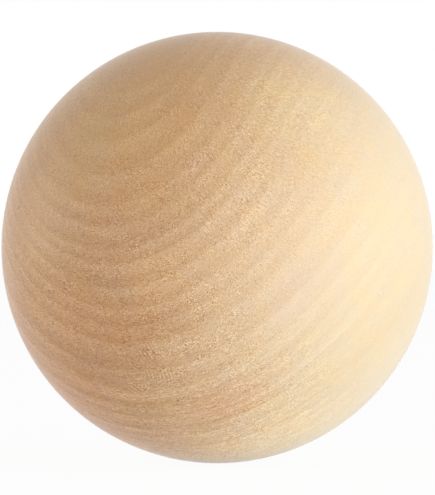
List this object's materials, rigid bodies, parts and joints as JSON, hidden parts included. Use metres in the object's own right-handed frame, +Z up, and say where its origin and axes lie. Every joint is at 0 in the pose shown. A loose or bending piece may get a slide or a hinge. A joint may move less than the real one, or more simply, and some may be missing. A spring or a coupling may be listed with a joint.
{
  "type": "wooden ball",
  "caption": "Plain solid ball turned from pale wood, sanded smooth and left bare, with no hole or flat, for crafts, knobs, finials and models.",
  "frame": {"origin": "the centre of the ball", "axes": "+Z up, and -Y towards the side that shows the curved growth rings"},
  "size_m": [0.05, 0.05, 0.05],
  "materials": {
    "bare_wood": "satin"
  },
  "bodies": {
    "root": {"ball": "bare_wood"}
  },
  "joints": []
}
